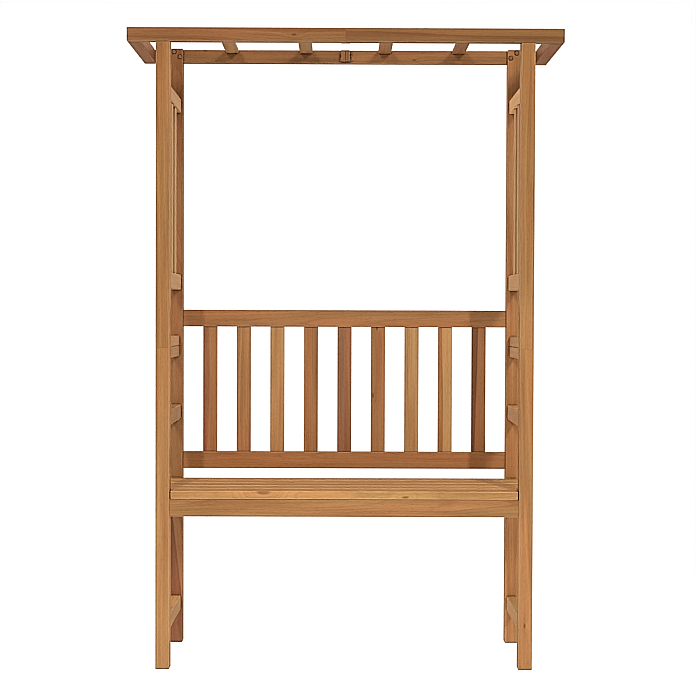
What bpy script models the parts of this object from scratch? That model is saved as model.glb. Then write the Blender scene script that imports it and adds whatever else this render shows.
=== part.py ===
"""Arbor bench: a slatted garden seat between two side frames that carry an open flat roof.

Metres, +Z up. The front faces -Y and +X is on the right of someone who looks at the front. The origin is on
the floor, under the middle of the bench.
"""

import bmesh
import bpy
from mathutils import Vector

# Overall sizes
HEIGHT = 2.000
FRAME_WIDTH = 1.178
FRAME_DEPTH = 0.452
POST_SIDE = 0.044
POST_JOINT_Z = 1.004

# Gaps, overruns and edges
CLEARANCE = 0.0003
OVERRUN = 0.010
ARRIS = 0.003
ARRIS_SEGMENTS = 3

# Side rails, from the floor up
SIDE_RAIL_THICKNESS = 0.033
FOOT_RAIL_Z = 0.1125
FOOT_RAIL_HEIGHT = 0.0465
ARM_RAIL_ABOVE_SEAT = 0.1985
ARM_RAIL_HEIGHT = 0.049
MIDDLE_RAIL_ABOVE_JOINT = 0.187
MIDDLE_RAIL_HEIGHT = 0.051
TOP_RAIL_BELOW_HEAD = 0.171
TOP_RAIL_HEIGHT = 0.044

# Thin rails that close the lower panel and start the upper one
JOINT_RAIL_THICKNESS = 0.022
LOWER_JOINT_RAIL_HEIGHT = 0.036
UPPER_JOINT_RAIL_HEIGHT = 0.033

# Trellis slats in the upper side panels
TRELLIS_SLAT_WIDTH = 0.044
TRELLIS_SLAT_THICKNESS = 0.012
TRELLIS_SLAT_GAP = 0.060
TRELLIS_RECESS = 0.010

# Backrest
BACK_RAIL_THICKNESS = 0.028
BACK_BOTTOM_RAIL_ABOVE_SEAT = 0.0305
BACK_BOTTOM_RAIL_HEIGHT = 0.0565
BACK_TOP_RAIL_ABOVE_JOINT = 0.0635
BACK_TOP_RAIL_HEIGHT = 0.057
BACK_SLAT_COUNT = 9
BACK_END_GAP = 0.0675
BACK_SLAT_WIDTH = 0.048
BACK_SLAT_THICKNESS = 0.013

# Seat: the front slat ends at the front posts, and the slats behind it lie on the side seat rails
SEAT_TOP_Z = 0.5585
SEAT_SLAT_COUNT = 5
SEAT_SLAT_THICKNESS = 0.0255
SEAT_SLAT_GAP = 0.012
SEAT_SETBACK = 0.002
SEAT_REAR_GAP = 0.0015
FRONT_SLAT_END_GAP = 0.002
LONG_SLAT_SETBACK = 0.004
APRON_THICKNESS = 0.028
APRON_HEIGHT = 0.055
APRON_SETBACK = 0.003
BEARER_WIDTH = 0.028
BEARER_HEIGHT = 0.045

# Roof
ROOF_OVERHANG = 0.0905
BEAM_THICKNESS = 0.028
BEAM_HEIGHT = 0.044
BEAM_DROP = 0.0015
END_BEAM_THICKNESS = 0.040
RAFTER_WIDTH = 0.044
RAFTER_THICKNESS = 0.011
RAFTER_PLACE_SHARES = (0.194, 0.56)
CLEAT_WIDTH = 0.0145
CLEAT_DEPTH = 0.028
CLEAT_HEIGHT = 0.036

# Tenons: how far they reach into their mortise, their thickness, and how much narrower than the board
RAIL_TENON_LENGTH = 0.022
RAIL_TENON_THICKNESS = 0.012
RAIL_TENON_SHOULDER = 0.006
JOINT_TENON_LENGTH = 0.014
SLAT_TENON_LENGTH = 0.014
SLAT_TENON_THICKNESS = 0.008
SLAT_TENON_SHOULDER = 0.004
RAFTER_TENON_LENGTH = 0.012
RAFTER_TENON_THICKNESS = 0.005

# Dowels between the lower and the upper posts, and the bolt holes
DOWEL_RADIUS = 0.005
DOWEL_LENGTH = 0.030
ROUND_SIDES = 12
BOLT_HOLE_RADIUS = 0.003
BOLT_HOLE_DEPTH = 0.020
INNER_BOLT_IN = 0.010
INNER_BOLT_DOWN = 0.028
OUTER_BOLT_IN = 0.030
OUTER_BOLT_DOWN = 0.011
CLEAT_BOLT_PITCH = 0.022

# Places that follow from the sizes above
HALF_WIDTH = FRAME_WIDTH / 2
HALF_DEPTH = FRAME_DEPTH / 2
POST_INNER_X = HALF_WIDTH - POST_SIDE
POST_INNER_Y = HALF_DEPTH - POST_SIDE
POST_MIDDLE_X = HALF_WIDTH - POST_SIDE / 2
POST_MIDDLE_Y = HALF_DEPTH - POST_SIDE / 2
LOWER_POST_TOP_Z = POST_JOINT_Z - CLEARANCE / 2
UPPER_POST_FOOT_Z = POST_JOINT_Z + CLEARANCE / 2
BEAM_TOP_Z = HEIGHT - BEAM_DROP
BEAM_BOTTOM_Z = BEAM_TOP_Z - BEAM_HEIGHT
BEAM_INNER_Y = HALF_DEPTH - BEAM_THICKNESS
APRON_TOP_Z = SEAT_TOP_Z - SEAT_SLAT_THICKNESS - CLEARANCE
APRON_OUTER_Y = HALF_DEPTH - APRON_SETBACK
APRON_INNER_Y = APRON_OUTER_Y - APRON_THICKNESS
ARM_RAIL_Z = SEAT_TOP_Z + ARM_RAIL_ABOVE_SEAT
MIDDLE_RAIL_Z = POST_JOINT_Z + MIDDLE_RAIL_ABOVE_JOINT
TOP_RAIL_Z = HEIGHT - TOP_RAIL_BELOW_HEAD - TOP_RAIL_HEIGHT
BACK_BOTTOM_RAIL_Z = SEAT_TOP_Z + BACK_BOTTOM_RAIL_ABOVE_SEAT
BACK_TOP_RAIL_Z = POST_JOINT_Z + BACK_TOP_RAIL_ABOVE_JOINT
BACK_SLAT_RUN = 2 * POST_INNER_X - 2 * BACK_END_GAP - BACK_SLAT_WIDTH
BACK_SLAT_PITCH = BACK_SLAT_RUN / (BACK_SLAT_COUNT - 1)
SEAT_FRONT_Y = -HALF_DEPTH + SEAT_SETBACK
SEAT_REAR_Y = POST_INNER_Y - SEAT_REAR_GAP
SEAT_SLAT_PITCH = (SEAT_REAR_Y - SEAT_FRONT_Y + SEAT_SLAT_GAP) / SEAT_SLAT_COUNT
SEAT_SLAT_WIDTH = SEAT_SLAT_PITCH - SEAT_SLAT_GAP
ROOF_HALF_WIDTH = HALF_WIDTH + ROOF_OVERHANG

SIDES = (("left", -1), ("right", 1))
FACINGS = (("front", -1), ("rear", 1))

# Linear colours of the timber, by what the board does, with its roughness
TONES = {
    "post": ((0.45, 0.21, 0.085), 0.55),
    "rail": ((0.38, 0.17, 0.070), 0.55),
    "slat": ((0.36, 0.15, 0.060), 0.58),
    "seat": ((0.58, 0.33, 0.140), 0.50),
    "roof": ((0.26, 0.11, 0.050), 0.60),
}


def clear_scene():
    for old in list(bpy.data.objects):
        bpy.data.objects.remove(old, do_unlink=True)


def new_collection(name):
    made = bpy.data.collections.new(name)
    bpy.context.scene.collection.children.link(made)
    return made


clear_scene()
BENCH = new_collection("arbor_bench")
CUTTERS = new_collection("arbor_bench_cutters")
CUTTERS.hide_render = True
ROOT = bpy.data.objects.new("arbor_bench_root", None)
BENCH.objects.link(ROOT)


def timber(name, tone):
    """One board's own material, in the colour of its tone."""
    colour, roughness = TONES[tone]
    material = bpy.data.materials.new(name + "_timber")
    material.use_nodes = True
    shader = material.node_tree.nodes["Principled BSDF"]
    shader.inputs["Base Color"].default_value = (*colour, 1)
    shader.inputs["Roughness"].default_value = roughness
    shader.inputs["Metallic"].default_value = 0
    material.diffuse_color = (*colour, 1)
    return material


def corners(first, second):
    """The low and the high corner of the box between two opposite corners, given in any order."""
    low = Vector(min(a, b) for a, b in zip(first, second))
    high = Vector(max(a, b) for a, b in zip(first, second))
    return low, high


def box_object(name, low, high, collection):
    shape = bmesh.new()
    bmesh.ops.create_cube(shape, size=1)
    bmesh.ops.scale(shape, vec=high - low, verts=shape.verts)
    mesh = bpy.data.meshes.new(name)
    shape.to_mesh(mesh)
    shape.free()
    made = bpy.data.objects.new(name, mesh)
    made.location = (low + high) / 2
    collection.objects.link(made)
    made.parent = ROOT
    return made


def hide_helper(helper):
    helper.hide_render = True
    helper.display_type = "WIRE"
    return helper


def cutter_box(name, first, second):
    low, high = corners(first, second)
    return hide_helper(box_object(name, low, high, CUTTERS))


def cutter_rod(name, radius, start, end):
    """A hidden round rod from start to end, two points on a line along X, Y or Z."""
    axis = Vector(end) - Vector(start)
    shape = bmesh.new()
    bmesh.ops.create_cone(
        shape,
        cap_ends=True,
        segments=ROUND_SIDES,
        radius1=radius,
        radius2=radius,
        depth=axis.length,
    )
    turn = Vector((0, 0, 1)).rotation_difference(axis).to_matrix()
    bmesh.ops.rotate(shape, cent=Vector((0, 0, 0)), matrix=turn, verts=shape.verts)
    mesh = bpy.data.meshes.new(name)
    shape.to_mesh(mesh)
    shape.free()
    made = bpy.data.objects.new(name, mesh)
    made.location = (Vector(start) + Vector(end)) / 2
    CUTTERS.objects.link(made)
    made.parent = ROOT
    return hide_helper(made)


def boolean(piece, operation, helper):
    step = piece.modifiers.new(operation.lower() + "_" + helper.name, "BOOLEAN")
    step.operation = operation
    step.solver = "EXACT"
    step.object = helper


def cut(piece, helper):
    boolean(piece, "DIFFERENCE", helper)


def fuse(piece, helper):
    boolean(piece, "UNION", helper)


def round_arrises(piece, along, low_end, high_end):
    """A Bevel on the long edges, and on those round an end that is asked for."""
    mesh = piece.data
    run = "XYZ".index(along)
    weights = mesh.attributes.new("bevel_weight_edge", "FLOAT", "EDGE")
    for edge in mesh.edges:
        start, end = (mesh.vertices[i].co for i in edge.vertices)
        is_long = start[run] * end[run] < 0
        at_low_end = low_end and max(start[run], end[run]) < 0
        at_high_end = high_end and min(start[run], end[run]) > 0
        weights.data[edge.index].value = float(is_long or at_low_end or at_high_end)
    bevel = piece.modifiers.new("rounded_arrises", "BEVEL")
    bevel.limit_method = "WEIGHT"
    thinnest = 2 * min(abs(place) for place in mesh.vertices[0].co)
    bevel.width = min(ARRIS, thinnest / 3)
    bevel.segments = ARRIS_SEGMENTS


def board(name, first, second, along, tone, low_end=False, high_end=False):
    """A planed board between two opposite corners, which runs along X, Y or Z."""
    low, high = corners(first, second)
    piece = box_object(name, low, high, BENCH)
    piece.data.materials.append(timber(name, tone))
    round_arrises(piece, along, low_end, high_end)
    return piece


def tenoned_board(name, first, second, along, tone, inset, length, hosts):
    """A board that stands between the faces of its hosts, with a tenon into each.

    inset is how much smaller the tenon is than the board, on each of its sides, across the board.
    """
    low, high = corners(first, second)
    run = "XYZ".index(along)
    shoulder_gap = Vector((0, 0, 0))
    shoulder_gap[run] = CLEARANCE
    piece = board(name, low + shoulder_gap, high - shoulder_gap, along, tone)
    reach = Vector(inset)
    reach[run] = -length
    tenon_low = low + reach
    tenon_high = high - reach
    fuse(piece, cutter_box(name + "_tenons", tenon_low, tenon_high))
    slack = Vector((CLEARANCE, CLEARANCE, CLEARANCE))
    mortises = cutter_box(name + "_mortises", tenon_low - slack, tenon_high + slack)
    for host in hosts:
        cut(host, mortises)
    return piece


def centred_inset(thickness, tenon_thickness):
    return (thickness - tenon_thickness) / 2


def make_post(side, sign, facing, way):
    """The lower and the upper post of one corner, located on each other by a dowel."""
    outer = (sign * HALF_WIDTH, way * HALF_DEPTH)
    inner = (sign * POST_INNER_X, way * POST_INNER_Y)
    middle = (sign * POST_MIDDLE_X, way * POST_MIDDLE_Y)
    corner = f"{facing}_{side}"
    lower = board(
        f"{corner}_lower_post",
        (*outer, 0),
        (*inner, LOWER_POST_TOP_Z),
        "Z",
        "post",
        low_end=True,
    )
    upper = board(
        f"{corner}_upper_post",
        (*outer, UPPER_POST_FOOT_Z),
        (*inner, HEIGHT),
        "Z",
        "post",
        high_end=True,
    )
    dowel = cutter_rod(
        f"{corner}_dowel",
        DOWEL_RADIUS,
        (*middle, POST_JOINT_Z - DOWEL_LENGTH),
        (*middle, POST_JOINT_Z + DOWEL_LENGTH),
    )
    fuse(upper, dowel)
    socket = cutter_rod(
        f"{corner}_dowel_socket",
        DOWEL_RADIUS + CLEARANCE,
        (*middle, POST_JOINT_Z - DOWEL_LENGTH - CLEARANCE),
        (*middle, POST_JOINT_Z + OVERRUN),
    )
    cut(lower, socket)
    rebate = cutter_box(
        f"{corner}_beam_rebate",
        (
            sign * (HALF_WIDTH + OVERRUN),
            way * (HALF_DEPTH + OVERRUN),
            HEIGHT + OVERRUN,
        ),
        (
            sign * (POST_INNER_X - OVERRUN),
            way * (BEAM_INNER_Y - CLEARANCE),
            BEAM_BOTTOM_Z - CLEARANCE,
        ),
    )
    cut(upper, rebate)
    return lower, upper


def make_posts():
    lower, upper = {}, {}
    for side, sign in SIDES:
        for facing, way in FACINGS:
            pair = make_post(side, sign, facing, way)
            lower[side, facing], upper[side, facing] = pair
    return lower, upper


def make_side_rail(name, sign, bottom, height, thickness, tenon_length, hosts):
    inset = (
        centred_inset(thickness, RAIL_TENON_THICKNESS),
        0,
        RAIL_TENON_SHOULDER,
    )
    return tenoned_board(
        name,
        (sign * POST_MIDDLE_X - thickness / 2, -POST_INNER_Y, bottom),
        (sign * POST_MIDDLE_X + thickness / 2, POST_INNER_Y, bottom + height),
        "Y",
        "rail",
        inset,
        tenon_length,
        hosts,
    )


def make_side_panel(side, sign, lower, upper):
    """The rails of one side, from the floor up, and the trellis slats between the two highest.

    The seat rail has short tenons, which end clear of those of the aprons in the same posts.
    """
    lower_posts = [lower[side, facing] for facing, _ in FACINGS]
    upper_posts = [upper[side, facing] for facing, _ in FACINGS]
    thick = (SIDE_RAIL_THICKNESS, RAIL_TENON_LENGTH)
    thin = (JOINT_RAIL_THICKNESS, JOINT_TENON_LENGTH)
    make_side_rail(
        f"{side}_foot_rail", sign, FOOT_RAIL_Z, FOOT_RAIL_HEIGHT, *thick, lower_posts
    )
    make_side_rail(
        f"{side}_seat_rail",
        sign,
        APRON_TOP_Z - APRON_HEIGHT,
        APRON_HEIGHT,
        SIDE_RAIL_THICKNESS,
        JOINT_TENON_LENGTH,
        lower_posts,
    )
    make_side_rail(
        f"{side}_arm_rail", sign, ARM_RAIL_Z, ARM_RAIL_HEIGHT, *thick, lower_posts
    )
    make_side_rail(
        f"{side}_lower_joint_rail",
        sign,
        LOWER_POST_TOP_Z - LOWER_JOINT_RAIL_HEIGHT,
        LOWER_JOINT_RAIL_HEIGHT,
        *thin,
        lower_posts,
    )
    make_side_rail(
        f"{side}_upper_joint_rail",
        sign,
        UPPER_POST_FOOT_Z,
        UPPER_JOINT_RAIL_HEIGHT,
        *thin,
        upper_posts,
    )
    middle_rail = make_side_rail(
        f"{side}_middle_rail",
        sign,
        MIDDLE_RAIL_Z,
        MIDDLE_RAIL_HEIGHT,
        *thick,
        upper_posts,
    )
    top_rail = make_side_rail(
        f"{side}_top_rail", sign, TOP_RAIL_Z, TOP_RAIL_HEIGHT, *thick, upper_posts
    )
    inner_x = sign * (POST_INNER_X + TRELLIS_RECESS)
    outer_x = inner_x + sign * TRELLIS_SLAT_THICKNESS
    inset = (
        centred_inset(TRELLIS_SLAT_THICKNESS, SLAT_TENON_THICKNESS),
        SLAT_TENON_SHOULDER,
        0,
    )
    for facing, way in FACINGS:
        near_y = way * TRELLIS_SLAT_GAP / 2
        tenoned_board(
            f"{side}_{facing}_trellis_slat",
            (inner_x, near_y, MIDDLE_RAIL_Z + MIDDLE_RAIL_HEIGHT),
            (outer_x, near_y + way * TRELLIS_SLAT_WIDTH, TOP_RAIL_Z),
            "Z",
            "slat",
            inset,
            SLAT_TENON_LENGTH,
            (middle_rail, top_rail),
        )


def make_cross_rail(name, near_y, thickness, bottom, height, posts, tone):
    """A rail from the left to the right post, with its thickness starting at near_y."""
    inset = (0, centred_inset(thickness, RAIL_TENON_THICKNESS), RAIL_TENON_SHOULDER)
    return tenoned_board(
        name,
        (-POST_INNER_X, near_y, bottom),
        (POST_INNER_X, near_y + thickness, bottom + height),
        "X",
        tone,
        inset,
        RAIL_TENON_LENGTH,
        posts,
    )


def make_backrest(lower, upper):
    """Two rails between the rear posts, with upright slats between them."""
    near_y = POST_MIDDLE_Y - BACK_RAIL_THICKNESS / 2
    bottom_rail = make_cross_rail(
        "back_bottom_rail",
        near_y,
        BACK_RAIL_THICKNESS,
        BACK_BOTTOM_RAIL_Z,
        BACK_BOTTOM_RAIL_HEIGHT,
        [lower[side, "rear"] for side, _ in SIDES],
        "rail",
    )
    top_rail = make_cross_rail(
        "back_top_rail",
        near_y,
        BACK_RAIL_THICKNESS,
        BACK_TOP_RAIL_Z,
        BACK_TOP_RAIL_HEIGHT,
        [upper[side, "rear"] for side, _ in SIDES],
        "rail",
    )
    inset = (
        SLAT_TENON_SHOULDER,
        centred_inset(BACK_SLAT_THICKNESS, SLAT_TENON_THICKNESS),
        0,
    )
    slat_y = POST_MIDDLE_Y - BACK_SLAT_THICKNESS / 2
    first_x = -BACK_SLAT_PITCH * (BACK_SLAT_COUNT - 1) / 2 - BACK_SLAT_WIDTH / 2
    for i in range(BACK_SLAT_COUNT):
        left_x = first_x + i * BACK_SLAT_PITCH
        tenoned_board(
            f"back_slat_{i + 1}",
            (left_x, slat_y, BACK_BOTTOM_RAIL_Z + BACK_BOTTOM_RAIL_HEIGHT),
            (left_x + BACK_SLAT_WIDTH, slat_y + BACK_SLAT_THICKNESS, BACK_TOP_RAIL_Z),
            "Z",
            "slat",
            inset,
            SLAT_TENON_LENGTH,
            (bottom_rail, top_rail),
        )


def make_seat(lower):
    """Aprons between the posts, a bearer from one to the other, and the slats on top of them."""
    aprons = []
    for facing, way in FACINGS:
        near_y = min(way * APRON_INNER_Y, way * APRON_OUTER_Y)
        apron = make_cross_rail(
            f"seat_{facing}_apron",
            near_y,
            APRON_THICKNESS,
            APRON_TOP_Z - APRON_HEIGHT,
            APRON_HEIGHT,
            [lower[side, facing] for side, _ in SIDES],
            "seat",
        )
        aprons.append(apron)
    inset = (
        centred_inset(BEARER_WIDTH, RAIL_TENON_THICKNESS),
        0,
        RAIL_TENON_SHOULDER,
    )
    tenoned_board(
        "seat_middle_bearer",
        (-BEARER_WIDTH / 2, -APRON_INNER_Y, APRON_TOP_Z - BEARER_HEIGHT),
        (BEARER_WIDTH / 2, APRON_INNER_Y, APRON_TOP_Z),
        "Y",
        "seat",
        inset,
        JOINT_TENON_LENGTH,
        aprons,
    )
    front_half_length = POST_INNER_X - FRONT_SLAT_END_GAP
    long_half_length = HALF_WIDTH - LONG_SLAT_SETBACK
    for i in range(SEAT_SLAT_COUNT):
        front_y = SEAT_FRONT_Y + i * SEAT_SLAT_PITCH
        half_length = front_half_length if i == 0 else long_half_length
        board(
            f"seat_slat_{i + 1}",
            (-half_length, front_y, SEAT_TOP_Z - SEAT_SLAT_THICKNESS),
            (half_length, front_y + SEAT_SLAT_WIDTH, SEAT_TOP_Z),
            "X",
            "seat",
            low_end=True,
            high_end=True,
        )


def make_half_beam(side, sign, facing, way, upper):
    """Half of the front or the rear beam, bolted to its post, with its cleat at the middle joint."""
    joint_x = sign * CLEARANCE / 2
    beam = board(
        f"roof_{facing}_{side}_beam",
        (joint_x, way * HALF_DEPTH, BEAM_BOTTOM_Z),
        (sign * ROOF_HALF_WIDTH, way * BEAM_INNER_Y, BEAM_TOP_Z),
        "X",
        "roof",
        low_end=sign < 0,
        high_end=sign > 0,
    )
    bolts = (
        ("inner", INNER_BOLT_IN, INNER_BOLT_DOWN),
        ("outer", OUTER_BOLT_IN, OUTER_BOLT_DOWN),
    )
    for place, inwards, down in bolts:
        bolt_x = sign * (POST_INNER_X + inwards)
        bolt_z = HEIGHT - down
        hole = cutter_rod(
            f"{facing}_{side}_{place}_bolt_hole",
            BOLT_HOLE_RADIUS,
            (bolt_x, way * (POST_INNER_Y - OVERRUN), bolt_z),
            (bolt_x, way * (BEAM_INNER_Y + BOLT_HOLE_DEPTH), bolt_z),
        )
        cut(upper[side, facing], hole)
        cut(beam, hole)
    return beam


def make_cleat(side, sign, facing, way, bolt_holes):
    middle_z = (BEAM_TOP_Z + BEAM_BOTTOM_Z) / 2
    outer_y = BEAM_INNER_Y - CLEARANCE
    cleat = board(
        f"roof_{facing}_{side}_cleat",
        (sign * CLEARANCE / 2, way * outer_y, middle_z - CLEAT_HEIGHT / 2),
        (sign * CLEAT_WIDTH, way * (outer_y - CLEAT_DEPTH), middle_z + CLEAT_HEIGHT / 2),
        "Z",
        "roof",
    )
    for hole in bolt_holes:
        cut(cleat, hole)


def make_cleats(facing, way):
    """The pair of blocks behind a middle joint, with two bolt holes through both."""
    middle_y = way * (BEAM_INNER_Y - CLEARANCE - CLEAT_DEPTH / 2)
    middle_z = (BEAM_TOP_Z + BEAM_BOTTOM_Z) / 2
    reach = CLEAT_WIDTH + OVERRUN
    holes = []
    for place, up in (("lower", -CLEAT_BOLT_PITCH / 2), ("upper", CLEAT_BOLT_PITCH / 2)):
        hole = cutter_rod(
            f"{facing}_{place}_cleat_bolt_hole",
            BOLT_HOLE_RADIUS,
            (-reach, middle_y, middle_z + up),
            (reach, middle_y, middle_z + up),
        )
        holes.append(hole)
    for side, sign in SIDES:
        make_cleat(side, sign, facing, way, holes)


def make_roof(upper):
    """Beams round the outside, rafters across, and cleats behind the middle joints."""
    beams = {}
    for facing, way in FACINGS:
        for side, sign in SIDES:
            beams[side, facing] = make_half_beam(side, sign, facing, way, upper)
        make_cleats(facing, way)
    end_beam_inset = (
        centred_inset(END_BEAM_THICKNESS, RAIL_TENON_THICKNESS),
        0,
        RAIL_TENON_SHOULDER,
    )
    rafter_inset = (
        SLAT_TENON_SHOULDER,
        0,
        centred_inset(RAFTER_THICKNESS, RAFTER_TENON_THICKNESS),
    )
    number = 0
    for side, sign in SIDES:
        hosts = [beams[side, facing] for facing, _ in FACINGS]
        outer_x = sign * ROOF_HALF_WIDTH
        tenoned_board(
            f"roof_{side}_end_beam",
            (outer_x, -BEAM_INNER_Y, BEAM_BOTTOM_Z),
            (outer_x - sign * END_BEAM_THICKNESS, BEAM_INNER_Y, BEAM_TOP_Z),
            "Y",
            "roof",
            end_beam_inset,
            RAFTER_TENON_LENGTH,
            hosts,
        )
        centres = sorted(sign * share * ROOF_HALF_WIDTH for share in RAFTER_PLACE_SHARES)
        for centre_x in centres:
            number += 1
            tenoned_board(
                f"roof_rafter_{number}",
                (
                    centre_x - RAFTER_WIDTH / 2,
                    -BEAM_INNER_Y,
                    BEAM_TOP_Z - RAFTER_THICKNESS,
                ),
                (centre_x + RAFTER_WIDTH / 2, BEAM_INNER_Y, BEAM_TOP_Z),
                "Y",
                "roof",
                rafter_inset,
                RAFTER_TENON_LENGTH,
                hosts,
            )


def main():
    lower, upper = make_posts()
    for side, sign in SIDES:
        make_side_panel(side, sign, lower, upper)
    make_backrest(lower, upper)
    make_seat(lower)
    make_roof(upper)


main()
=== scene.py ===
"""Looks of the arbor bench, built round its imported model: oiled teak, furniture bolts and a white studio.

Metres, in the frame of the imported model: +Z up, the front faces -Y, +X is on the right of someone who looks
at the front.
"""

import math
import random

import bmesh
import bpy
from mathutils import Matrix, Vector


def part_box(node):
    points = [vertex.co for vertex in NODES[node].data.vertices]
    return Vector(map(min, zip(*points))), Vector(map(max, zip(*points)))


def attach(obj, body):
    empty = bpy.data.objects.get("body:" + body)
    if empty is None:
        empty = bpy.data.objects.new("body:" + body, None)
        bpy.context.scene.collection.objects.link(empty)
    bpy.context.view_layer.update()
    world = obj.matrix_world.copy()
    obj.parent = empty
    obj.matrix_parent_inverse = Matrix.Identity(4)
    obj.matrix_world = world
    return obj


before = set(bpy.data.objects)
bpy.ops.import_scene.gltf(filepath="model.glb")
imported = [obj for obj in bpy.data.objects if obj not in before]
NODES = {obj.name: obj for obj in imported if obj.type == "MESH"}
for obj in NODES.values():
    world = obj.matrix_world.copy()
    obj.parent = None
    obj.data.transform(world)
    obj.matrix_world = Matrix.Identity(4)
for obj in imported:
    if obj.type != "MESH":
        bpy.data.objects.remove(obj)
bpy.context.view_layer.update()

# Camera, at the photograph's viewing angle
CAMERA_PLACE = (-0.0101, -5.1470, 1.1112)
CAMERA_LENS_MM = 81.83
CAMERA_SENSOR_MM = 36.0
CAMERA_DOWN_DEGREES = 1.229
CAMERA_RIGHT_DEGREES = 0.235
CAMERA_ROLL_DEGREES = 0.2

# Studio: two upright strip lamps that cast the shadows, and white surroundings that fill them
LEFT_LAMP_PLACE = (-2.12, -9.4, 4.6)
RIGHT_LAMP_PLACE = (3.30, -9.4, 5.2)
LAMP_TARGET = (0.0, 0.0, 0.6)
LAMP_WIDTH = 0.3
LAMP_HEIGHT = 1.8
LAMP_SPREAD_DEGREES = 75
LAMP_COLOUR = (1.0, 0.95, 0.88)
LEFT_LAMP_POWER_W = 48
RIGHT_LAMP_POWER_W = 69
FILL_COLOUR = (1.0, 0.93, 0.76, 1)
MIRRORED_COLOUR = (1.25, 0.82, 0.52, 1)
FRONT_FILL = 0.20
REAR_FILL = 0.93
TOP_FILL_SHARE = 0.6
LOW_FILL_SHARE = 0.35
SHARPENING = 0.21
FLOOR_RADIUS = 6.0
FLOOR_SPOKES = 96
FLOOR_CLEAR_FROM = 3.0
FLOOR_CLEAR_TO = 5.5
FLOOR_GLOW = 0.93
FLOOR_COLOUR = (0.2, 0.2, 0.2, 1)
DISPLAY_GAMMA = 2.2


def srgb(red, green, blue):
    """A linear colour from 0 to 255 values."""
    shares = [value / 255 for value in (red, green, blue)]
    return tuple(s / 12.92 if s <= 0.04045 else ((s + 0.055) / 1.055) ** 2.4 for s in shares)


# Shader node helpers
def add(tree, kind, inputs=(), **settings):
    """A new node with its settings made and its inputs set, or linked where the value is a socket."""
    node = tree.nodes.new(kind)
    for name, value in settings.items():
        setattr(node, name, value)
    for socket, value in dict(inputs).items():
        if isinstance(value, bpy.types.NodeSocket):
            tree.links.new(value, node.inputs[socket])
        else:
            node.inputs[socket].default_value = value
    return node


def maths(tree, operation, *values):
    return add(tree, "ShaderNodeMath", enumerate(values), operation=operation).outputs[0]


def vector_maths(tree, operation, *values, output="Vector"):
    made = add(tree, "ShaderNodeVectorMath", enumerate(values), operation=operation)
    return made.outputs[output]


def ramp(tree, value, start, end, first=0.0, last=1.0):
    """Goes smoothly from first to last while value goes from start to end."""
    inputs = {"Value": value, "From Min": start, "From Max": end, "To Min": first, "To Max": last}
    return add(tree, "ShaderNodeMapRange", inputs, interpolation_type="SMOOTHSTEP").outputs["Result"]


def mix(tree, share, first, second, mode="MIX"):
    """Two colours mixed, where colours are inputs 6 and 7 and output 2 of the node."""
    inputs = {0: share, 6: first, 7: second}
    made = add(tree, "ShaderNodeMix", inputs, data_type="RGBA", blend_type=mode)
    return made.outputs[2]


def noise(tree, place, stretch, detail=2.0, roughness=0.5):
    """Noise with stretch patches per metre along X, Y and Z of place."""
    scaled = vector_maths(tree, "MULTIPLY", place, stretch)
    inputs = {"Vector": scaled, "Scale": 1.0, "Detail": detail, "Roughness": roughness}
    return add(tree, "ShaderNodeTexNoise", inputs).outputs["Fac"]


def centred(tree, value, amount):
    """A noise from 0 to 1, made to vary round zero by amount."""
    return maths(tree, "MULTIPLY", maths(tree, "SUBTRACT", value, 0.5), amount)


def total(tree, *values):
    result = values[0]
    for value in values[1:]:
        result = maths(tree, "ADD", result, value)
    return result


def product(tree, *values):
    result = values[0]
    for value in values[1:]:
        result = maths(tree, "MULTIPLY", result, value)
    return result


def one_minus(tree, value):
    return maths(tree, "SUBTRACT", 1.0, value)


GROUP_INPUTS = (
    ("Place", "NodeSocketVector"),
    ("Facing", "NodeSocketVector"),
    ("Half Size", "NodeSocketVector"),
    ("Pith", "NodeSocketVector"),
    ("Lean", "NodeSocketVector"),
    ("Knot", "NodeSocketVector"),
    ("Knot Radius", "NodeSocketFloat"),
    ("Second Knot", "NodeSocketVector"),
    ("Second Knot Radius", "NodeSocketFloat"),
    ("Seed", "NodeSocketFloat"),
    ("Ring Width", "NodeSocketFloat"),
    ("Outer From", "NodeSocketFloat"),
    ("Figure", "NodeSocketFloat"),
    ("Wear And Highlight", "NodeSocketFloat"),
    ("Painted Side Shade", "NodeSocketFloat"),
    ("Light", "NodeSocketColor"),
    ("Dark", "NodeSocketColor"),
    ("Outer", "NodeSocketColor"),
)
GROUP_OUTPUTS = (
    ("Color", "NodeSocketColor"),
    ("Roughness", "NodeSocketFloat"),
    ("Normal", "NodeSocketVector"),
)
REDDER = (1.05, 0.95, 0.90, 1)
YELLOWER = (0.98, 1.02, 0.98, 1)
DARK_OUTER = (0.72, 0.68, 0.64, 1)
# Colour of pale arrises: wear, and a painted highlight
WORN_AND_HIGHLIGHT = (0.90, 0.66, 0.40, 1)
KNOT_STRETCH = (0.42, 1, 1)
KNOT_FALL = 0.25
KNOT_PUSH = 1.5
RING_TONE_AMOUNT = 0.30
BANDS_AMOUNT = 1.2
PATCHES_AMOUNT = 1.4
STREAKS_AMOUNT = 0.35
FIBRES_AMOUNT = 0.25
OUTER_BLEND = 0.003
ARRIS_FROM = 0.0006
ARRIS_TO = 0.0034
# Painted shade in corners, gaps and joints: how far it reaches and how dark it gets
PAINTED_CREVICE_REACH = 0.010
PAINTED_CREVICE_SHADE = 0.18
RING_LINE_SHADE = 0.12
PORE_SHADE = 0.78
KNOT_SHADE = 0.58
END_GRAIN_SHADE = 0.62
TEAK_ROUGHNESS = 0.44
TEAK_SPECULAR = 0.3
TEAK_BUMP = {"Strength": 0.35, "Distance": 0.0003}


def new_group(name, inputs, outputs):
    group = bpy.data.node_groups.new(name, "ShaderNodeTree")
    for socket, kind in inputs:
        group.interface.new_socket(name=socket, in_out="INPUT", socket_type=kind)
    for socket, kind in outputs:
        group.interface.new_socket(name=socket, in_out="OUTPUT", socket_type=kind)
    return group


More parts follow.
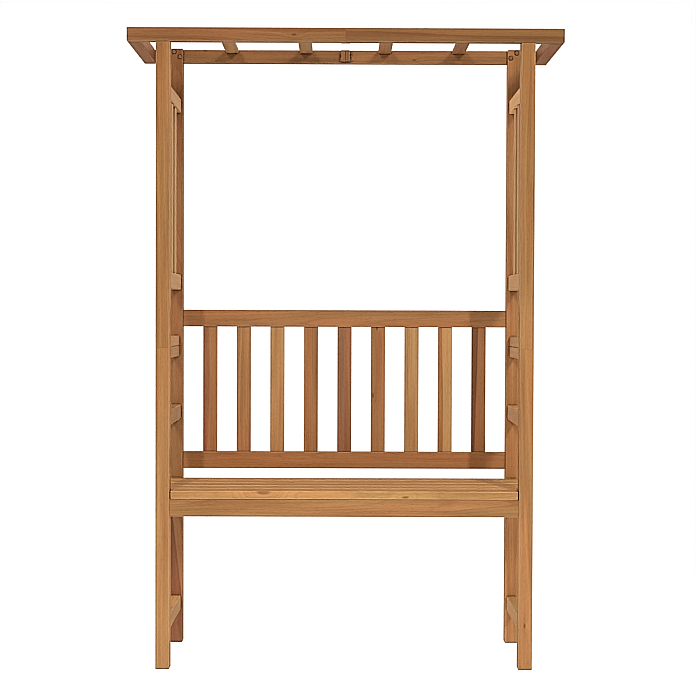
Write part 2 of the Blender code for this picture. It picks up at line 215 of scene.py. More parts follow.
def knot_reach(tree, place, knot, knot_radius):
    """How many radii away from the middle of a knot, which is long along the grain."""
    step = vector_maths(tree, "SUBTRACT", place, knot)
    step = vector_maths(tree, "MULTIPLY", step, KNOT_STRETCH)
    return maths(tree, "DIVIDE", vector_maths(tree, "LENGTH", step, output="Value"), knot_radius)


def knot_push(tree, reach, knot_radius):
    """How far a knot pushes the growth rings aside."""
    fall = maths(tree, "EXPONENT", product(tree, reach, reach, -KNOT_FALL))
    return product(tree, fall, knot_radius, KNOT_PUSH)


def make_teak_group():
    """Solid teak: growth rings round a pith that the board was sawn beside, with pores, fibres and streaks.

    Place runs from the board's middle, with its grain along X. The rings are cut by each face as a saw would
    cut them, so a face shows cathedrals or straight lines and an end shows arcs.
    """
    tree = new_group("teak", GROUP_INPUTS, GROUP_OUTPUTS)
    given = tree.nodes.new("NodeGroupInput").outputs
    along = add(tree, "ShaderNodeSeparateXYZ", {0: given["Place"]}).outputs[0]
    seed = add(
        tree,
        "ShaderNodeCombineXYZ",
        {0: given["Seed"], 1: maths(tree, "MULTIPLY", given["Seed"], 1.7), 2: given["Seed"]},
    ).outputs[0]
    place = vector_maths(tree, "ADD", given["Place"], seed)

    lean = add(tree, "ShaderNodeVectorMath", {0: given["Lean"], 3: along}, operation="SCALE").outputs[0]
    from_pith = vector_maths(tree, "SUBTRACT", given["Place"], given["Pith"])
    from_pith = vector_maths(tree, "SUBTRACT", from_pith, lean)
    across = vector_maths(tree, "MULTIPLY", from_pith, (0, 1, 1))
    radius = vector_maths(tree, "LENGTH", across, output="Value")
    slow = noise(tree, place, (1.6, 7, 7), detail=1)
    quick = noise(tree, place, (7, 40, 40), detail=2)
    reach = knot_reach(tree, given["Place"], given["Knot"], given["Knot Radius"])
    second_reach = knot_reach(tree, given["Place"], given["Second Knot"], given["Second Knot Radius"])
    radius = total(
        tree,
        radius,
        centred(tree, slow, 0.020),
        centred(tree, quick, 0.003),
        knot_push(tree, reach, given["Knot Radius"]),
        knot_push(tree, second_reach, given["Second Knot Radius"]),
    )
    phase = maths(tree, "DIVIDE", radius, given["Ring Width"])
    ring = maths(tree, "FLOOR", phase)
    in_ring = maths(tree, "FRACT", phase)
    ring_tone = add(
        tree,
        "ShaderNodeTexWhiteNoise",
        {"W": maths(tree, "ADD", ring, given["Seed"])},
        noise_dimensions="1D",
    ).outputs["Value"]
    line = one_minus(tree, ramp(tree, in_ring, 0.0, 0.3))
    line = maths(tree, "MAXIMUM", line, ramp(tree, in_ring, 0.93, 1.0))

    bands = noise(tree, place, (2.2, 60, 60), detail=3, roughness=0.55)
    streaks = noise(tree, place, (6, 130, 130), detail=3, roughness=0.5)
    fibres = noise(tree, place, (45, 1500, 1500), detail=2)
    pores = ramp(tree, noise(tree, place, (70, 1000, 1000), detail=1), 0.60, 0.68)

    patches = noise(tree, place, (2.6, 22, 22), detail=2)
    figure = total(
        tree,
        centred(tree, ring_tone, RING_TONE_AMOUNT),
        centred(tree, bands, BANDS_AMOUNT),
        centred(tree, patches, PATCHES_AMOUNT),
        centred(tree, streaks, STREAKS_AMOUNT),
    )
    figure = maths(tree, "MULTIPLY", figure, given["Figure"])
    tone = ramp(tree, total(tree, 0.5, figure, centred(tree, fibres, FIBRES_AMOUNT)), 0.0, 1.0)
    outer_to = maths(tree, "ADD", given["Outer From"], OUTER_BLEND)
    outer = ramp(tree, radius, given["Outer From"], outer_to)
    light = mix(tree, outer, given["Light"], given["Outer"])
    dark_outer = mix(tree, 1.0, given["Outer"], DARK_OUTER, "MULTIPLY")
    dark = mix(tree, outer, given["Dark"], dark_outer)
    colour = mix(tree, tone, dark, light)
    hue_patches = noise(tree, place, (1.9, 30, 30), detail=2)
    hue = mix(tree, ramp(tree, hue_patches, 0.35, 0.65), REDDER, YELLOWER)
    colour = mix(tree, 1.0, colour, hue, "MULTIPLY")

    nearest = maths(tree, "MINIMUM", reach, second_reach)
    knot = one_minus(tree, ramp(tree, nearest, 0.35, 0.8))
    facing = add(tree, "ShaderNodeSeparateXYZ", {0: given["Facing"]}).outputs
    end_grain = ramp(tree, maths(tree, "ABSOLUTE", facing[0]), 0.6, 0.9)
    # Painted light and shade: the faces across the board's last axis are darkened or lightened by the side
    # shade input, for how light falls on them
    painted_side_mask = ramp(tree, maths(tree, "ABSOLUTE", facing[2]), 0.6, 0.9)
    half_to_place = vector_maths(tree, "ABSOLUTE", given["Place"])
    inwards = vector_maths(tree, "SUBTRACT", given["Half Size"], half_to_place)
    depth = add(tree, "ShaderNodeSeparateXYZ", {0: inwards}).outputs
    from_arris = maths(tree, "MAXIMUM", depth[1], depth[2])
    arris = one_minus(tree, ramp(tree, from_arris, ARRIS_FROM, ARRIS_TO))
    arris = maths(tree, "MULTIPLY", arris, ramp(tree, quick, 0.3, 0.6, 0.5, 1.0))
    # Painted shade: the colour darkens where other boards are near, in corners, gaps and joints where shade
    # falls
    open_share = add(
        tree, "ShaderNodeAmbientOcclusion", {"Distance": PAINTED_CREVICE_REACH}, samples=6
    ).outputs["AO"]
    shade = product(
        tree,
        ramp(tree, open_share, 0.30, 0.85, PAINTED_CREVICE_SHADE, 1.0),
        one_minus(tree, maths(tree, "MULTIPLY", line, RING_LINE_SHADE)),
        ramp(tree, pores, 0, 1, 1.0, PORE_SHADE),
        ramp(tree, knot, 0, 1, 1.0, KNOT_SHADE),
        ramp(tree, end_grain, 0, 1, 1.0, END_GRAIN_SHADE),
        ramp(tree, painted_side_mask, 0, 1, 1.0, given["Painted Side Shade"]),
    )
    # Paler arrises: partly wear, partly a painted highlight where arrises catch the light, strongest on the
    # seat slats
    colour = mix(tree, maths(tree, "MULTIPLY", arris, given["Wear And Highlight"]), colour, WORN_AND_HIGHLIGHT)
    grey = add(tree, "ShaderNodeCombineXYZ", {0: shade, 1: shade, 2: shade}).outputs[0]
    colour = mix(tree, 1.0, colour, grey, "MULTIPLY")

    roughness = total(
        tree,
        TEAK_ROUGHNESS,
        centred(tree, streaks, 0.20),
        maths(tree, "MULTIPLY", pores, 0.12),
        maths(tree, "MULTIPLY", end_grain, 0.25),
    )
    height = total(
        tree,
        maths(tree, "MULTIPLY", fibres, 0.35),
        maths(tree, "MULTIPLY", pores, -0.6),
        maths(tree, "MULTIPLY", line, -0.15),
        maths(tree, "MULTIPLY", streaks, 0.25),
    )
    bump = add(tree, "ShaderNodeBump", {**TEAK_BUMP, "Height": height})
    add(
        tree,
        "NodeGroupOutput",
        {"Color": colour, "Roughness": roughness, "Normal": bump.outputs["Normal"]},
    )
    return tree


TEAK = make_teak_group()

# Tones of oiled teak
TONES = {
    "pale": srgb(226, 182, 130),
    "honey": srgb(216, 163, 104),
    "golden": srgb(189, 138, 89),
    "sand": srgb(194, 151, 103),
    "tan": srgb(178, 128, 86),
    "amber": srgb(165, 116, 78),
    "russet": srgb(161, 107, 76),
    "umber": srgb(134, 94, 70),
}
LIGHT_OF_TONE = (1.26, 1.30, 1.32)
DARK_OF_TONE = (0.70, 0.64, 0.60)

# Boards by the start of their name, with the tone that they have unless a row below it says otherwise
FAMILY_TONES = (
    ("front_", "golden"),
    ("rear_", "amber"),
    ("back_", "tan"),
    ("seat_slat", "honey"),
    ("seat_", "golden"),
    ("left_", "sand"),
    ("right_", "sand"),
    ("roof_front", "amber"),
    ("roof_", "russet"),
)

TRELLIS_SLATS = [
    f"{side}_{place}_trellis_slat" for side in ("left", "right") for place in ("front", "rear")
]

# What single boards show. A shade makes all tones of a board darker or lighter, and a painted side shade
# those of its faces across the last axis as well, as painted shadow or painted light. Places are from the
# middle of the
# board: along the grain, then the two other axes in the order X, Y, Z. Farther from its pith than outer_from,
# a board has its outer tone
LOOKS = {
    "front_left_upper_post": {"shade": 0.82},
    "front_left_lower_post": {"shade": 0.92},
    "front_right_upper_post": {"shade": 0.84},
    "front_right_lower_post": {
        "shade": 0.86,
        "pith": (0, -0.060, 0.030),
        "lean": (0, -0.043, 0),
        "outer_from": 0.090,
        "outer": "golden",
        "knot": (-0.363, -0.002, -0.022),
        "knot_radius": 0.006,
    },
    "rear_left_upper_post": {"shade": 0.87},
    "rear_right_upper_post": {"tone": "tan", "shade": 0.96},
    "rear_left_lower_post": {
        "tone": "russet",
        "shade": 0.72,
        "pith": (0, -0.070, 0.010),
        "lean": (0, -0.096, 0),
        "outer_from": 0.062,
        "outer": "tan",
    },
    "rear_right_lower_post": {"tone": "golden", "shade": 0.86},
    "roof_front_left_beam": {
        "tone": "tan",
        "shade": 0.80,
        "knot": (0.179, -0.014, 0),
        "knot_radius": 0.006,
    },
    "roof_front_right_beam": {
        "tone": "tan",
        "shade": 0.59,
        "pith": (0, 0.030, -0.060),
        "outer_from": 0.076,
        "outer": "golden",
    },
    "roof_rear_left_beam": {
        "tone": "tan",
        "shade": 0.69,
        "knot": (-0.131, -0.014, 0.019),
        "knot_radius": 0.005,
    },
    "roof_rear_right_beam": {
        "tone": "tan",
        "shade": 0.86,
        "knot": (-0.108, -0.014, -0.010),
        "knot_radius": 0.005,
    },
    "roof_rear_left_cleat": {"tone": "tan", "shade": 0.78},
    "roof_rear_right_cleat": {"tone": "tan", "shade": 0.66},
    "roof_left_end_beam": {"shade": 0.85},
    "roof_right_end_beam": {"shade": 0.80},
    "roof_rafter_1": {"tone": "sand", "shade": 0.96},
    "roof_rafter_2": {"tone": "sand", "shade": 0.76},
    "roof_rafter_3": {"tone": "tan", "shade": 0.93},
    "roof_rafter_4": {"tone": "amber"},
    "left_upper_joint_rail": {"shade": 1.05},
    "left_lower_joint_rail": {"shade": 0.93},
    "left_arm_rail": {"shade": 0.82},
    # Painted light: the top and bottom faces are lightened, as the top face is lit from above
    "left_foot_rail": {"tone": "sand", "shade": 0.86, "painted_side_shade": 1.7},
    "right_top_rail": {"shade": 1.55},
    "right_middle_rail": {"shade": 1.10},
    "right_upper_joint_rail": {"shade": 1.10},
    "right_lower_joint_rail": {"shade": 1.15},
    "right_arm_rail": {"shade": 1.14},
    "right_foot_rail": {"shade": 0.97},
    "back_bottom_rail": {"shade": 0.99},
    "back_top_rail": {"shade": 0.98},
    "back_slat_1": {
        "tone": "russet",
        "pith": (0, -0.070, 0.010),
        "outer_from": 0.0645,
        "outer": "amber",
    },
    "back_slat_3": {"tone": "sand", "shade": 0.94},
    "back_slat_4": {
        "tone": "amber",
        "pith": (0, 0.060, 0.010),
        "outer_from": 0.0765,
        "outer": "tan",
    },
    "back_slat_5": {
        "tone": "umber",
        "shade": 1.38,
        "pith": (0, -0.060, 0.010),
        "outer_from": 0.0690,
        "outer": "umber",
    },
    "back_slat_6": {
        "shade": 0.90,
        "pith": (0, -0.060, 0.010),
        "outer_from": 0.0745,
        "outer": "tan",
        "knot": (0.210, -0.004, -0.0065),
        "knot_radius": 0.007,
        "second_knot": (-0.020, -0.017, -0.0065),
        "second_knot_radius": 0.006,
    },
    "back_slat_7": {"tone": "sand", "shade": 0.92},
    "back_slat_8": {
        "shade": 0.95,
        "pith": (0, -0.060, 0.010),
        "outer_from": 0.0520,
        "outer": "sand",
    },
    "back_slat_9": {
        "tone": "umber",
        "shade": 1.16,
        "pith": (0, -0.050, 0.010),
        "outer_from": 0.0485,
        "outer": "amber",
    },
    # Painted shadow: the slats' narrow front and back faces are darkened, as if shaded by the front posts
    **dict.fromkeys(TRELLIS_SLATS, {"shade": 1.05, "painted_side_shade": 0.55}),
    "seat_front_apron": {"shade": 0.80},
    "seat_slat_1": {
        "shade": 0.86,
        "knot": (-0.252, -0.036, 0.010),
        "knot_radius": 0.014,
        "second_knot": (0.191, -0.036, -0.006),
        "second_knot_radius": 0.006,
    },
    **dict.fromkeys(("seat_slat_2", "seat_slat_3", "seat_slat_4"), {"shade": 0.90}),
    "seat_slat_5": {"shade": 0.88},
}
FIGURE = 0.55
RAIL_FIGURE = 0.35
# How much the arrises pale: wear, and on the seat slats mostly a painted highlight
ARRIS_WEAR_AND_HIGHLIGHT = 0.2
SEAT_ARRIS_WEAR_AND_HIGHLIGHT = 0.6

# Far enough from every board to stay out of sight
NO_KNOT = (0, 0, 9)
NO_KNOT_RADIUS = 0.01
NO_OUTER = 9.0

# What chance draws for each board
PITH_DISTANCES = (0.035, 0.110)
LEANS = (-0.02, 0.02)
SEEDS = (0, 20)
RING_WIDTHS = (0.0025, 0.005)


def grain_order(low, high):
    """The axes of the board in the order grain, then the other two."""
    sides = high - low
    grain = max(range(3), key=lambda i: sides[i])
    return [grain] + [i for i in range(3) if i != grain]


def family_tone(name):
    for start, tone in FAMILY_TONES:
        if name.startswith(start):
            return tone
    raise ValueError(name)


def reorder(tree, vector, order):
    apart = add(tree, "ShaderNodeSeparateXYZ", {0: vector}).outputs
    return add(tree, "ShaderNodeCombineXYZ", {i: apart[axis] for i, axis in enumerate(order)}).outputs[0]


def scaled_colour(colour, shares, shade):
    return (*[value * share * shade for value, share in zip(colour, shares)], 1)


def make_board_material(name):
    low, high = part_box(name)
    order = grain_order(low, high)
    middle = (low + high) / 2
    half = (high - low) / 2
    look = LOOKS.get(name, {})
    chance = random.Random(name)
    colour = TONES[look.get("tone", family_tone(name))]
    shade = look.get("shade", 1.0)
    angle = chance.uniform(0, 2 * math.pi)
    away = chance.uniform(*PITH_DISTANCES)
    material = bpy.data.materials.new(name + "_teak")
    material.use_nodes = True
    tree = material.node_tree
    shader = tree.nodes["Principled BSDF"]
    where = tree.nodes.new("ShaderNodeTexCoord")
    place = vector_maths(tree, "SUBTRACT", where.outputs["Object"], middle)
    teak = add(tree, "ShaderNodeGroup", node_tree=TEAK)
    values = {
        "Half Size": [half[axis] for axis in order],
        "Pith": look.get("pith", (0, away * math.cos(angle), away * math.sin(angle))),
        "Lean": look.get("lean", (0, chance.uniform(*LEANS), chance.uniform(*LEANS))),
        "Knot": look.get("knot", NO_KNOT),
        "Knot Radius": look.get("knot_radius", NO_KNOT_RADIUS),
        "Second Knot": look.get("second_knot", NO_KNOT),
        "Second Knot Radius": look.get("second_knot_radius", NO_KNOT_RADIUS),
        "Seed": chance.uniform(*SEEDS),
        "Ring Width": chance.uniform(*RING_WIDTHS),
        "Outer From": look.get("outer_from", NO_OUTER),
        "Figure": RAIL_FIGURE if "_rail" in name else FIGURE,
        "Wear And Highlight": SEAT_ARRIS_WEAR_AND_HIGHLIGHT if name.startswith("seat_slat") else ARRIS_WEAR_AND_HIGHLIGHT,
        "Painted Side Shade": look.get("painted_side_shade", 1.0),
        "Light": scaled_colour(colour, LIGHT_OF_TONE, shade),
        "Dark": scaled_colour(colour, DARK_OF_TONE, shade),
        "Outer": scaled_colour(TONES[look.get("outer", "pale")], LIGHT_OF_TONE, shade),
    }
    for socket, value in values.items():
        teak.inputs[socket].default_value = value
    shader.inputs["Specular IOR Level"].default_value = TEAK_SPECULAR
    tree.links.new(reorder(tree, place, order), teak.inputs["Place"])
    tree.links.new(reorder(tree, where.outputs["Normal"], order), teak.inputs["Facing"])
    tree.links.new(teak.outputs["Color"], shader.inputs["Base Color"])
    tree.links.new(teak.outputs["Roughness"], shader.inputs["Roughness"])
    tree.links.new(teak.outputs["Normal"], shader.inputs["Normal"])
    return material


def dress_boards():
    for name, board in NODES.items():
        board.data.materials.clear()
        board.data.materials.append(make_board_material(name))


dress_boards()

# Painted shadows in the seams of the half beams and of the cleats, which meet in the middle of the width
SEAM_THICKNESS = 0.00024
SEAM_DARK = (0.035, 0.020, 0.012, 1)
SEAM_LIGHT = (0.08, 0.045, 0.025, 1)
SEAM_INSET = 0.0006
SEAM_STEPS = 12


def make_seam_material():
    """A painted shadow for a seam: nearly black brown, blotched."""
    material = bpy.data.materials.new("seam_shadow")
    material.use_nodes = True
    tree = material.node_tree
    shader = tree.nodes["Principled BSDF"]
    place = tree.nodes.new("ShaderNodeTexCoord").outputs["Object"]
    blotch = noise(tree, place, (400, 400, 400), detail=3)
    colour = mix(tree, ramp(tree, blotch, 0.3, 0.7), SEAM_DARK, SEAM_LIGHT)
    bump = add(tree, "ShaderNodeBump", {"Strength": 0.5, "Distance": 0.0002, "Height": blotch})
    tree.links.new(colour, shader.inputs["Base Color"])
    tree.links.new(total(tree, 0.75, centred(tree, blotch, 0.3)), shader.inputs["Roughness"])
    tree.links.new(bump.outputs["Normal"], shader.inputs["Normal"])
    return material


def make_seam(name, board, finish):
    """A thin dark sheet in the seam beside a board's middle end, a little short of the board's arrises, that
    paints the seam's shadow.
    """
    low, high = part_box(board)
    span_y = (low.y + SEAM_INSET, high.y - SEAM_INSET)
    span_z = (low.z + SEAM_INSET, high.z - SEAM_INSET)
    chance = random.Random(name)
    shape = bmesh.new()
    rows = []
    for i in range(SEAM_STEPS + 1):
        z = span_z[0] + (span_z[1] - span_z[0]) * i / SEAM_STEPS
        ends = [chance.uniform(0, SEAM_INSET) for _ in range(2)]
        corners = (
            (-SEAM_THICKNESS / 2, span_y[0] + ends[0]),
            (SEAM_THICKNESS / 2, span_y[0] + ends[0]),
            (SEAM_THICKNESS / 2, span_y[1] - ends[1]),
            (-SEAM_THICKNESS / 2, span_y[1] - ends[1]),
        )
        rows.append([shape.verts.new((x, y, z)) for x, y in corners])
    for lower, upper in zip(rows, rows[1:]):
        for i in range(4):
            j = (i + 1) % 4
            shape.faces.new((lower[i], lower[j], upper[j], upper[i]))
    shape.faces.new(rows[0])
    shape.faces.new(rows[-1])
    bmesh.ops.recalc_face_normals(shape, faces=shape.faces)
    mesh = bpy.data.meshes.new(name)
    shape.to_mesh(mesh)
    shape.free()
    mesh.materials.append(finish)
    piece = bpy.data.objects.new(name, mesh)
    bpy.context.scene.collection.objects.link(piece)
    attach(piece, "root")


SEAM_SHADOW = make_seam_material()
make_seam("front_beam_seam", "roof_front_left_beam", SEAM_SHADOW)
make_seam("rear_beam_seam", "roof_rear_left_beam", SEAM_SHADOW)
make_seam("front_cleat_seam", "roof_front_left_cleat", SEAM_SHADOW)
make_seam("rear_cleat_seam", "roof_rear_left_cleat", SEAM_SHADOW)

# Fasteners
CUP_RADIUS = 0.0083
CUP_HEIGHT = 0.0008
HEAD_RADIUS = 0.0060
HEAD_HEIGHT = 0.0022
HEAD_SOCKET = 0.0027
POST_SHANK_LENGTH = 0.030
SHANK_RADIUS = 0.0027
CLEAT_HEAD_RADIUS = 0.0050
CLEAT_HEAD_HEIGHT = 0.0030
CLEAT_SOCKET = 0.004
CLEAT_SHANK_LENGTH = 0.0375
WASHER_RADIUS = 0.0064
WASHER_THICKNESS = 0.0010
NUT_WIDTH = 0.0100
NUT_HEIGHT = 0.0048
SCREW_HEAD_RADIUS = 0.0042
SCREW_HEAD_HEIGHT = 0.0016
SCREW_SOCKET = 0.0026
SCREW_SHANK_RADIUS = 0.0020
SCREW_SHANK_LENGTH = 0.0100
SEGMENTS = 48
SHARP_DEGREES = 35
METALLIC = 0.6
BOLT_PLACES_X_Z = ((0.555, 1.972), (0.575, 1.989))
TONGUE_FACE_Y = 0.182
CLEAT_BOLT_Y = 0.1837
CLEAT_BOLT_HEIGHTS = (1.9655, 1.9875)
CLEAT_FACE_X = 0.0145


def hexagon_reach(angle, width):
    """The distance from the middle to the side of a hexagon of this width across its flats."""
    sixth = math.pi / 3
    return width / 2 / math.cos((angle + sixth / 2) % sixth - sixth / 2)


def ring_of(shape, size, height, hexagonal):
    """One ring of points at a height; size is a radius, or a hexagon's width across its flats."""
    points = []
    for i in range(SEGMENTS):
        angle = 2 * math.pi * i / SEGMENTS
        reach = hexagon_reach(angle, size) if hexagonal else size
        points.append(shape.verts.new((reach * math.cos(angle), reach * math.sin(angle), height)))
    return points


def bridge(shape, first, second):
    for i in range(SEGMENTS):
        j = (i + 1) % SEGMENTS
        shape.faces.new((first[i], first[j], second[j], second[i]))


def turned_piece(name, rings, is_tube, finish):
    """A piece with its axis along Z, whose surface goes through rings of (size, height, hexagonal).

    A tube closes from its last ring to its first. Another piece closes with a flat cap at each end.
    """
    shape = bmesh.new()
    made = [ring_of(shape, *row) for row in rings]
    for first, second in zip(made, made[1:]):
        bridge(shape, first, second)
    if is_tube:
        bridge(shape, made[-1], made[0])
    else:
        shape.faces.new(made[0])
        shape.faces.new(made[-1])
    bmesh.ops.recalc_face_normals(shape, faces=shape.faces)
    mesh = bpy.data.meshes.new(name)
    shape.to_mesh(mesh)
    shape.free()
    for polygon in mesh.polygons:
        polygon.use_smooth = True
    mesh.set_sharp_from_angle(angle=math.radians(SHARP_DEGREES))
    mesh.materials.append(finish)
    piece = bpy.data.objects.new(name, mesh)
    bpy.context.scene.collection.objects.link(piece)
    return piece


def socket_screw(name, head_radius, head_height, socket, shank_radius, shank_length, finish):
    """A flat-headed screw with a hexagonal socket, its head standing on the plane at zero."""
    edge = head_height / 4
    floor = head_height / 5
    rings = (
        (socket, floor, True),
        (socket, head_height - edge / 2, True),
        (socket + edge, head_height, True),
        (head_radius - 2 * edge, head_height, False),
        (head_radius - edge / 2, head_height - edge / 2, False),
        (head_radius, head_height - 2 * edge, False),
        (head_radius, edge / 4, False),
        (head_radius - edge / 4, 0, False),
        (shank_radius, 0, False),
        (shank_radius, -shank_length, False),
    )
    return turned_piece(name, rings, False, finish)


def washer(name, radius, thickness, finish):
    """A flat ring round a shank, its lower face on the plane at zero."""
    edge = thickness / 4
    inner = SHANK_RADIUS + edge
    rings = (
        (inner, 0, False),
        (radius - edge, 0, False),
        (radius, edge, False),
        (radius, thickness - edge, False),
        (radius - edge, thickness, False),
        (inner, thickness, False),
    )
    return turned_piece(name, rings, True, finish)


def nut(name, finish):
    """A hexagonal nut whose two faces are chamfered to a circle."""
    chamfer = NUT_HEIGHT / 8
    inner = SHANK_RADIUS + chamfer / 4
    rings = (
        (inner, 0, False),
        (NUT_WIDTH / 2, 0, False),
        (NUT_WIDTH, chamfer, True),
        (NUT_WIDTH, NUT_HEIGHT - chamfer, True),
        (NUT_WIDTH / 2, NUT_HEIGHT, False),
        (inner + chamfer, NUT_HEIGHT, False),
        (inner, NUT_HEIGHT - chamfer, False),
    )
    return turned_piece(name, rings, True, finish)


def stand(piece, place, facing):
    """Puts a piece at its place with its top facing that way, fixed to the bench."""
    turn = Vector((0, 0, 1)).rotation_difference(Vector(facing)).to_matrix().to_4x4()
    piece.matrix_world = Matrix.Translation(place) @ turn
    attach(piece, "root")


def make_metal(name, light, dark, rough):
    """Plated steel with faint cloudy patches and fine turning marks."""
    material = bpy.data.materials.new(name)
    material.use_nodes = True
    tree = material.node_tree
    shader = tree.nodes["Principled BSDF"]
    shader.inputs["Metallic"].default_value = METALLIC
    place = tree.nodes.new("ShaderNodeTexCoord").outputs["Object"]
    cloud = noise(tree, place, (260, 260, 260), detail=3)
    marks = noise(tree, place, (1800, 1800, 5000), detail=2)
    colour = mix(tree, ramp(tree, cloud, 0.3, 0.7), dark, light)
    roughness = total(tree, rough, centred(tree, cloud, 0.25), centred(tree, marks, 0.15))
    bump = add(tree, "ShaderNodeBump", {"Strength": 0.2, "Distance": 0.00005, "Height": marks})
    tree.links.new(colour, shader.inputs["Base Color"])
    tree.links.new(roughness, shader.inputs["Roughness"])
    tree.links.new(bump.outputs["Normal"], shader.inputs["Normal"])
    return material


def make_post_bolts(finish, cup_finish):
    """Two bolts at each post head, from the inner side of the frame, each with its head in a cup whose
    near-black colour paints the shadow in the gap round the head.
    """
    for side, sign in (("left", -1), ("right", 1)):
        for facing, way in (("front", -1), ("rear", 1)):
            for place, (x, z) in zip(("inner", "outer"), BOLT_PLACES_X_Z):
                cup_place = (sign * x, way * TONGUE_FACE_Y, z)
                cup = washer(f"{facing}_{side}_{place}_cup", CUP_RADIUS, CUP_HEIGHT, cup_finish)
                stand(cup, cup_place, (0, -way, 0))
                bolt = socket_screw(
                    f"{facing}_{side}_{place}_post_bolt",
                    HEAD_RADIUS,
                    HEAD_HEIGHT,
                    HEAD_SOCKET,
                    SHANK_RADIUS,
                    POST_SHANK_LENGTH,
                    finish,
                )
                stand(bolt, (sign * x, way * (TONGUE_FACE_Y - CUP_HEIGHT), z), (0, -way, 0))


def make_cleat_bolts(finish, dull_finish):
    """Two bolts through each pair of cleats, with a washer and a nut on the right."""
    for facing, way in (("front", -1), ("rear", 1)):
        for place, z in zip(("lower", "upper"), CLEAT_BOLT_HEIGHTS):
            y = way * CLEAT_BOLT_Y
            start = f"{facing}_{place}_cleat"
            bolt = socket_screw(
                f"{start}_bolt",
                CLEAT_HEAD_RADIUS,
                CLEAT_HEAD_HEIGHT,
                CLEAT_SOCKET,
                SHANK_RADIUS,
                CLEAT_SHANK_LENGTH,
                finish,
            )
            stand(bolt, (-CLEAT_FACE_X, y, z), (-1, 0, 0))
            flat_ring = washer(f"{start}_washer", WASHER_RADIUS, WASHER_THICKNESS, finish)
            stand(flat_ring, (CLEAT_FACE_X, y, z), (1, 0, 0))
            nut_face_x = CLEAT_FACE_X + WASHER_THICKNESS
            stand(nut(f"{start}_nut", dull_finish), (nut_face_x, y, z), (1, 0, 0))


def make_seat_screws(finish):
    """One screw up into each seat slat from the middle bearer and from both seat rails."""
    for carrier in ("seat_middle_bearer", "left_seat_rail", "right_seat_rail"):
        low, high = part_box(carrier)
        x = (low.x + high.x) / 2
        for number in range(1, 6):
            slat_low, slat_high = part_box(f"seat_slat_{number}")
            if not slat_low.x < x < slat_high.x:
                continue
            screw = socket_screw(
                f"{carrier}_screw_{number}",
                SCREW_HEAD_RADIUS,
                SCREW_HEAD_HEIGHT,
                SCREW_SOCKET,
                SCREW_SHANK_RADIUS,
                SCREW_SHANK_LENGTH,
                finish,
            )
            y = (slat_low.y + slat_high.y) / 2
            stand(screw, (x, y, low.z), (0, 0, -1))


BRASSY = make_metal("yellow_plated_steel", (0.56, 0.33, 0.20, 1), (0.42, 0.24, 0.145, 1), 0.5)
DULL = make_metal("dull_plated_steel", (0.34, 0.24, 0.16, 1), (0.24, 0.16, 0.11, 1), 0.5)
# Cup steel: its near-black colour is a painted shadow ring round each post bolt's head
DARK = make_metal("shadow_ring_steel", (0.13, 0.07, 0.045, 1), (0.08, 0.045, 0.03, 1), 0.6)
make_post_bolts(BRASSY, DARK)
make_cleat_bolts(BRASSY, DULL)
make_seat_screws(BRASSY)


# Studio
def make_floor():
    """A white floor that fades into the surroundings, shows only the darkest shadows and isn't mirrored."""
    shape = bmesh.new()
    bmesh.ops.create_circle(shape, cap_ends=True, segments=FLOOR_SPOKES, radius=FLOOR_RADIUS)
    mesh = bpy.data.meshes.new("studio_floor")
    shape.to_mesh(mesh)
    shape.free()
    floor = bpy.data.objects.new("studio_floor", mesh)
    bpy.context.scene.collection.objects.link(floor)
    material = bpy.data.materials.new("white_floor")
    material.use_nodes = True
    tree = material.node_tree
    tree.nodes.clear()
    where = tree.nodes.new("ShaderNodeTexCoord")
    out = vector_maths(tree, "LENGTH", where.outputs["Object"], output="Value")
    clear = ramp(tree, out, FLOOR_CLEAR_FROM, FLOOR_CLEAR_TO)
    lit = add(tree, "ShaderNodeBsdfDiffuse", {"Color": FLOOR_COLOUR}).outputs[0]
    glow = add(tree, "ShaderNodeEmission", {"Strength": FLOOR_GLOW}).outputs[0]
    solid = add(tree, "ShaderNodeAddShader", {0: lit, 1: glow}).outputs[0]
    gone = add(tree, "ShaderNodeBsdfTransparent").outputs[0]
    blend = add(tree, "ShaderNodeMixShader", {0: clear, 1: solid, 2: gone}).outputs[0]
    add(tree, "ShaderNodeOutputMaterial", {"Surface": blend})
    mesh.materials.append(material)
    floor.visible_glossy = False


def make_surroundings():
    """White all round as the camera sees it; as a light, bright behind the bench and dim in front of it.

    What the boards mirror is warmer and dimmer than the fill, as in a room with more than white walls.
    """
    world = bpy.data.worlds.new("white_surroundings")
    bpy.context.scene.world = world
    world.use_nodes = True
    tree = world.node_tree
    tree.nodes.clear()
    way = add(
        tree,
        "ShaderNodeSeparateXYZ",
        {0: tree.nodes.new("ShaderNodeTexCoord").outputs["Generated"]},
    ).outputs
    level = ramp(tree, way[1], -0.8, 0.4, FRONT_FILL, REAR_FILL)
    level = product(
        tree,
        level,
        ramp(tree, way[2], 0.3, 0.9, 1.0, TOP_FILL_SHARE),
        ramp(tree, way[2], -0.25, -0.02, LOW_FILL_SHARE, 1.0),
    )
    seen = add(tree, "ShaderNodeBackground", {"Color": (1, 1, 1, 1), "Strength": 1.0}).outputs[0]
    ray = tree.nodes.new("ShaderNodeLightPath").outputs
    fill = mix(tree, ray["Is Glossy Ray"], FILL_COLOUR, MIRRORED_COLOUR)
    lit = add(tree, "ShaderNodeBackground", {"Color": fill, "Strength": level}).outputs[0]
    blend = add(tree, "ShaderNodeMixShader", {0: ray["Is Camera Ray"], 1: lit, 2: seen}).outputs[0]
    add(tree, "ShaderNodeOutputWorld", {"Surface": blend})


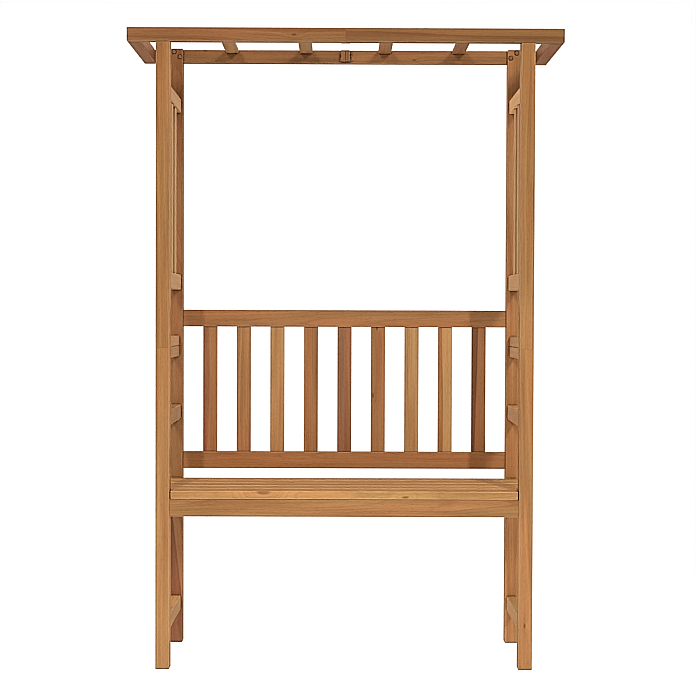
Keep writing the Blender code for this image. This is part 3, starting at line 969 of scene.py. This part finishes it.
def make_lamp(name, place, power):
    """An upright strip lamp that lights the boards and isn't mirrored by them."""
    lamp = bpy.data.lights.new(name, "AREA")
    lamp.shape = "RECTANGLE"
    lamp.size = LAMP_WIDTH
    lamp.size_y = LAMP_HEIGHT
    lamp.color = LAMP_COLOUR
    lamp.spread = math.radians(LAMP_SPREAD_DEGREES)
    lamp.energy = power
    box = bpy.data.objects.new(name, lamp)
    bpy.context.scene.collection.objects.link(box)
    box.location = place
    aim = Vector(LAMP_TARGET) - Vector(place)
    box.rotation_euler = aim.to_track_quat("-Z", "Y").to_euler()
    box.visible_glossy = False


def make_camera():
    camera = bpy.data.cameras.new("camera")
    camera.lens = CAMERA_LENS_MM
    camera.sensor_width = CAMERA_SENSOR_MM
    view = bpy.data.objects.new("camera", camera)
    bpy.context.scene.collection.objects.link(view)
    turn = Matrix.Rotation(math.radians(-CAMERA_RIGHT_DEGREES), 4, "Z")
    tilt = Matrix.Rotation(math.radians(90 - CAMERA_DOWN_DEGREES), 4, "X")
    roll = Matrix.Rotation(math.radians(CAMERA_ROLL_DEGREES), 4, "Z")
    view.matrix_world = Matrix.Translation(CAMERA_PLACE) @ turn @ tilt @ roll
    bpy.context.scene.camera = view


make_floor()
make_surroundings()
make_lamp("left_lamp", LEFT_LAMP_PLACE, LEFT_LAMP_POWER_W)
make_lamp("right_lamp", RIGHT_LAMP_PLACE, RIGHT_LAMP_POWER_W)
make_camera()
bpy.context.scene.view_settings.view_transform = "Standard"


def make_crisp():
    """Sharpens the brightness of the whole picture a little, as a camera does, and leaves its hues alone."""
    scene = bpy.context.scene
    scene.use_nodes = True
    tree = scene.node_tree
    tree.nodes.clear()
    seen = tree.nodes.new("CompositorNodeRLayers").outputs["Image"]
    shown = add(tree, "CompositorNodeGamma", {"Image": seen, "Gamma": 1 / DISPLAY_GAMMA}).outputs["Image"]
    grey = add(tree, "CompositorNodeRGBToBW", {"Image": shown}).outputs["Val"]
    inputs = {"Fac": SHARPENING, "Image": grey}
    crisp = add(tree, "CompositorNodeFilter", inputs, filter_type="SHARPEN").outputs["Image"]
    change = add(tree, "CompositorNodeMixRGB", {0: 1.0, 1: crisp, 2: grey}, blend_type="SUBTRACT").outputs[0]
    sharp = add(tree, "CompositorNodeMixRGB", {0: 1.0, 1: shown, 2: change}, blend_type="ADD").outputs[0]
    final = add(tree, "CompositorNodeGamma", {"Image": sharp, "Gamma": DISPLAY_GAMMA}).outputs["Image"]
    add(tree, "CompositorNodeComposite", {"Image": final})


make_crisp()
